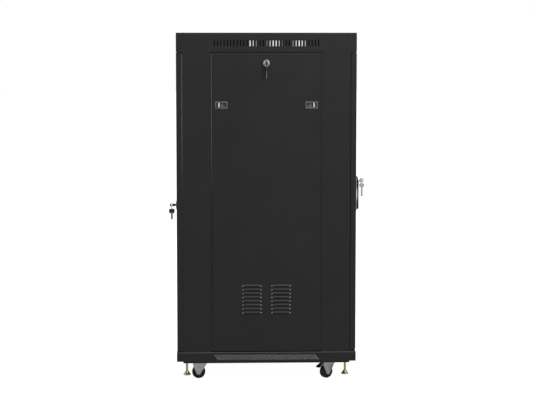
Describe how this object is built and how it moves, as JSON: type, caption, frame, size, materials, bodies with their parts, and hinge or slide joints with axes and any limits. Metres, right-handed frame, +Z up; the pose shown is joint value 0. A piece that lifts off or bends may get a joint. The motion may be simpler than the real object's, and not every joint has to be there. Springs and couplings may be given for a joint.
{
  "type": "network server rack cabinet",
  "caption": "Free-standing enclosed network rack cabinet on swivel casters, with 19-inch rails, lockable doors, lift-off side panels and a roof fan.",
  "frame": {"origin": "on the floor, under the middle of the cabinet's width and depth", "axes": "+Z up; the front door faces -Y; +X is to the right of someone facing the front door"},
  "size_m": [0.654, 0.659, 1.177],
  "materials": {
    "powder_coat": "fine-textured satin black powder coat",
    "frame_coat": "matt black paint",
    "zinc_plate": "bright zinc plate",
    "foot_plate": "bright plated foot with a yellow-passivated stud",
    "wheel_nylon": "moulded black nylon",
    "brake_steel": "zinc-plated pressing",
    "fan_plastic": "moulded black plastic",
    "guard_wire": "plated wire",
    "latch_grey": "dark grey moulded plastic",
    "latch_slider": "light grey grip on a dark slide",
    "lock_chrome": "polished chrome",
    "key_plastic": "black moulded head on a plated blade",
    "key_metal": "nickel-plated key",
    "handle_black": "satin black lacquer on die-cast zinc",
    "tinted_glass": "tinted toughened glass"
  },
  "bodies": {
    "cabinet": {"base_frame": "frame_coat", "base_skirt": "powder_coat", "corner_post_front_left": "powder_coat", "corner_post_rear_left": "powder_coat", "corner_post_front_right": "powder_coat", "corner_post_rear_right": "powder_coat", "top_frame": "frame_coat", "top_cover": "powder_coat", "mounting_rail_front_left": "frame_coat", "mounting_rail_rear_left": "frame_coat", "mounting_rail_front_right": "frame_coat", "mounting_rail_rear_right": "frame_coat", "rail_brackets": "frame_coat", "frame_bolts": "zinc_plate", "fan_housing": "fan_plastic", "fan_guard": "guard_wire", "hinge_pins": "zinc_plate", "caster_plates": "zinc_plate"},
    "fan": {"fan_impeller": "fan_plastic"},
    "front_door": {"front_door_frame": "powder_coat", "front_door_glass": "tinted_glass", "front_handle_base": "lock_chrome"},
    "front_spindle": {"front_spindle": "handle_black"},
    "front_lever": {"front_handle_lever": "handle_black"},
    "front_lock": {"front_lock": "lock_chrome", "front_key": "key_metal"},
    "front_spare_key": {"front_spare_key": "key_metal"},
    "rear_door": {"rear_door": "powder_coat", "rear_lock_housing": "latch_grey"},
    "rear_lock": {"rear_lock": "lock_chrome", "rear_key": "key_plastic"},
    "rear_spare_key": {"rear_spare_key": "key_plastic"},
    "side_panel_left": {"side_panel_left": "powder_coat", "side_panel_fittings_left": "latch_grey"},
    "side_lock_left": {"side_lock_left": "lock_chrome", "side_key_left": "key_plastic"},
    "side_spare_key_left": {"side_spare_key_left": "key_plastic"},
    "side_latch_front_left": {"side_latch_front_left": "latch_slider"},
    "side_latch_rear_left": {"side_latch_rear_left": "latch_slider"},
    "side_panel_right": {"side_panel_right": "powder_coat", "side_panel_fittings_right": "latch_grey"},
    "side_lock_right": {"side_lock_right": "lock_chrome", "side_key_right": "key_plastic"},
    "side_spare_key_right": {"side_spare_key_right": "key_plastic"},
    "side_latch_front_right": {"side_latch_front_right": "latch_slider"},
    "side_latch_rear_right": {"side_latch_rear_right": "latch_slider"},
    "caster_fork_front_left": {"caster_fork_front_left": "zinc_plate"},
    "caster_wheel_front_left": {"caster_wheel_front_left": "wheel_nylon"},
    "caster_brake_front_left": {"caster_brake_front_left": "brake_steel"},
    "levelling_foot_front_left": {"levelling_foot_front_left": "foot_plate"},
    "caster_fork_rear_left": {"caster_fork_rear_left": "zinc_plate"},
    "caster_wheel_rear_left": {"caster_wheel_rear_left": "wheel_nylon"},
    "levelling_foot_rear_left": {"levelling_foot_rear_left": "foot_plate"},
    "caster_fork_front_right": {"caster_fork_front_right": "zinc_plate"},
    "caster_wheel_front_right": {"caster_wheel_front_right": "wheel_nylon"},
    "caster_brake_front_right": {"caster_brake_front_right": "brake_steel"},
    "levelling_foot_front_right": {"levelling_foot_front_right": "foot_plate"},
    "caster_fork_rear_right": {"caster_fork_rear_right": "zinc_plate"},
    "caster_wheel_rear_right": {"caster_wheel_rear_right": "wheel_nylon"},
    "levelling_foot_rear_right": {"levelling_foot_rear_right": "foot_plate"}
  },
  "joints": [
    {"name": "fan_spin", "type": "hinge", "parent": "cabinet", "child": "fan", "pos_m": [0, 0.114, 1.13], "axis": [0, 0, 1], "continuous": true},
    {"name": "front_door_hinge", "type": "hinge", "parent": "cabinet", "child": "front_door", "pos_m": [0.292, -0.292, 0.612], "axis": [0, 0, 1], "range_deg": [0, 150]},
    {"name": "front_handle_turn", "type": "hinge", "parent": "front_door", "child": "front_spindle", "pos_m": [-0.252, -0.3, 0.588], "axis": [0, 1, 0], "range_deg": [0, 90]},
    {"name": "front_handle_lift", "type": "hinge", "parent": "front_spindle", "child": "front_lever", "pos_m": [-0.252, -0.3088, 0.588], "axis": [1, 0, 0], "range_deg": [0, 25]},
    {"name": "front_lock_turn", "type": "hinge", "parent": "front_lever", "child": "front_lock", "pos_m": [-0.252, -0.309, 0.681], "axis": [0, 1, 0], "range_deg": [0, 90]},
    {"name": "front_spare_key_swing", "type": "hinge", "parent": "front_lock", "child": "front_spare_key", "pos_m": [-0.252, -0.323, 0.681], "axis": [-1, 0, 0], "range_deg": [-5, 70]},
    {"name": "rear_door_hinge", "type": "hinge", "parent": "cabinet", "child": "rear_door", "pos_m": [0.292, 0.292, 0.612], "axis": [0, 0, -1], "range_deg": [0, 150]},
    {"name": "rear_lock_turn", "type": "hinge", "parent": "rear_door", "child": "rear_lock", "pos_m": [-0.245, 0.3, 0.599], "axis": [0, -1, 0], "range_deg": [0, 90]},
    {"name": "rear_spare_key_swing", "type": "hinge", "parent": "rear_lock", "child": "rear_spare_key", "pos_m": [-0.245, 0.318, 0.599], "axis": [1, 0, 0], "range_deg": [-12, 70]},
    {"name": "side_panel_left_tilt", "type": "hinge", "parent": "cabinet", "child": "side_panel_left", "pos_m": [-0.299, 0, 0.107], "axis": [0, -1, 0], "range_deg": [0, 25]},
    {"name": "side_lock_left_turn", "type": "hinge", "parent": "side_panel_left", "child": "side_lock_left", "pos_m": [-0.3, 0, 1.076], "axis": [1, 0, 0], "range_deg": [0, 90]},
    {"name": "side_spare_key_left_swing", "type": "hinge", "parent": "side_lock_left", "child": "side_spare_key_left", "pos_m": [-0.318, 0, 1.076], "axis": [0, 1, 0], "range_deg": [-12, 70]},
    {"name": "side_latch_front_left_slide", "type": "slide", "parent": "side_panel_left", "child": "side_latch_front_left", "axis": [0, 1, 0], "range_m": [0, 0.008], "stiffness_N_per_m": 200, "springref_m": -0.005},
    {"name": "side_latch_rear_left_slide", "type": "slide", "parent": "side_panel_left", "child": "side_latch_rear_left", "axis": [0, -1, 0], "range_m": [0, 0.008], "stiffness_N_per_m": 200, "springref_m": -0.005},
    {"name": "side_panel_right_tilt", "type": "hinge", "parent": "cabinet", "child": "side_panel_right", "pos_m": [0.299, 0, 0.107], "axis": [0, 1, 0], "range_deg": [0, 25]},
    {"name": "side_lock_right_turn", "type": "hinge", "parent": "side_panel_right", "child": "side_lock_right", "pos_m": [0.3, 0, 1.076], "axis": [-1, 0, 0], "range_deg": [0, 90]},
    {"name": "side_spare_key_right_swing", "type": "hinge", "parent": "side_lock_right", "child": "side_spare_key_right", "pos_m": [0.318, 0, 1.076], "axis": [0, -1, 0], "range_deg": [-12, 70]},
    {"name": "side_latch_front_right_slide", "type": "slide", "parent": "side_panel_right", "child": "side_latch_front_right", "axis": [0, 1, 0], "range_m": [0, 0.008], "stiffness_N_per_m": 200, "springref_m": -0.005},
    {"name": "side_latch_rear_right_slide", "type": "slide", "parent": "side_panel_right", "child": "side_latch_rear_right", "axis": [0, -1, 0], "range_m": [0, 0.008], "stiffness_N_per_m": 200, "springref_m": -0.005},
    {"name": "caster_swivel_front_left", "type": "hinge", "parent": "cabinet", "child": "caster_fork_front_left", "pos_m": [-0.22, -0.22, 0.056], "axis": [0, 0, 1], "continuous": true},
    {"name": "caster_roll_front_left", "type": "hinge", "parent": "caster_fork_front_left", "child": "caster_wheel_front_left", "pos_m": [-0.22848, -0.20643, 0.0225], "axis": [-0.848, -0.5299, 0], "continuous": true},
    {"name": "caster_brake_front_left_press", "type": "hinge", "parent": "caster_fork_front_left", "child": "caster_brake_front_left", "pos_m": [-0.23643, -0.19371, 0.052], "axis": [-0.848, -0.5299, 0], "range_deg": [0, 8]},
    {"name": "levelling_foot_front_left_screw", "type": "slide", "parent": "cabinet", "child": "levelling_foot_front_left", "axis": [0, 0, -1], "range_m": [0, 0.018]},
    {"name": "caster_swivel_rear_left", "type": "hinge", "parent": "cabinet", "child": "caster_fork_rear_left", "pos_m": [-0.22, 0.214, 0.056], "axis": [0, 0, 1], "continuous": true},
    {"name": "caster_roll_rear_left", "type": "hinge", "parent": "caster_fork_rear_left", "child": "caster_wheel_rear_left", "pos_m": [-0.22, 0.23, 0.0225], "axis": [-1, 0, 0], "continuous": true},
    {"name": "levelling_foot_rear_left_screw", "type": "slide", "parent": "cabinet", "child": "levelling_foot_rear_left", "axis": [0, 0, -1], "range_m": [0, 0.018]},
    {"name": "caster_swivel_front_right", "type": "hinge", "parent": "cabinet", "child": "caster_fork_front_right", "pos_m": [0.22, -0.22, 0.056], "axis": [0, 0, 1], "continuous": true},
    {"name": "caster_roll_front_right", "type": "hinge", "parent": "caster_fork_front_right", "child": "caster_wheel_front_right", "pos_m": [0.21152, -0.20643, 0.0225], "axis": [-0.848, -0.5299, 0], "continuous": true},
    {"name": "caster_brake_front_right_press", "type": "hinge", "parent": "caster_fork_front_right", "child": "caster_brake_front_right", "pos_m": [0.20357, -0.19371, 0.052], "axis": [-0.848, -0.5299, 0], "range_deg": [0, 8]},
    {"name": "levelling_foot_front_right_screw", "type": "slide", "parent": "cabinet", "child": "levelling_foot_front_right", "axis": [0, 0, -1], "range_m": [0, 0.018]},
    {"name": "caster_swivel_rear_right", "type": "hinge", "parent": "cabinet", "child": "caster_fork_rear_right", "pos_m": [0.22, 0.214, 0.056], "axis": [0, 0, 1], "continuous": true},
    {"name": "caster_roll_rear_right", "type": "hinge", "parent": "caster_fork_rear_right", "child": "caster_wheel_rear_right", "pos_m": [0.22, 0.23, 0.0225], "axis": [-1, 0, 0], "continuous": true},
    {"name": "levelling_foot_rear_right_screw", "type": "slide", "parent": "cabinet", "child": "levelling_foot_rear_right", "axis": [0, 0, -1], "range_m": [0, 0.018]}
  ]
}
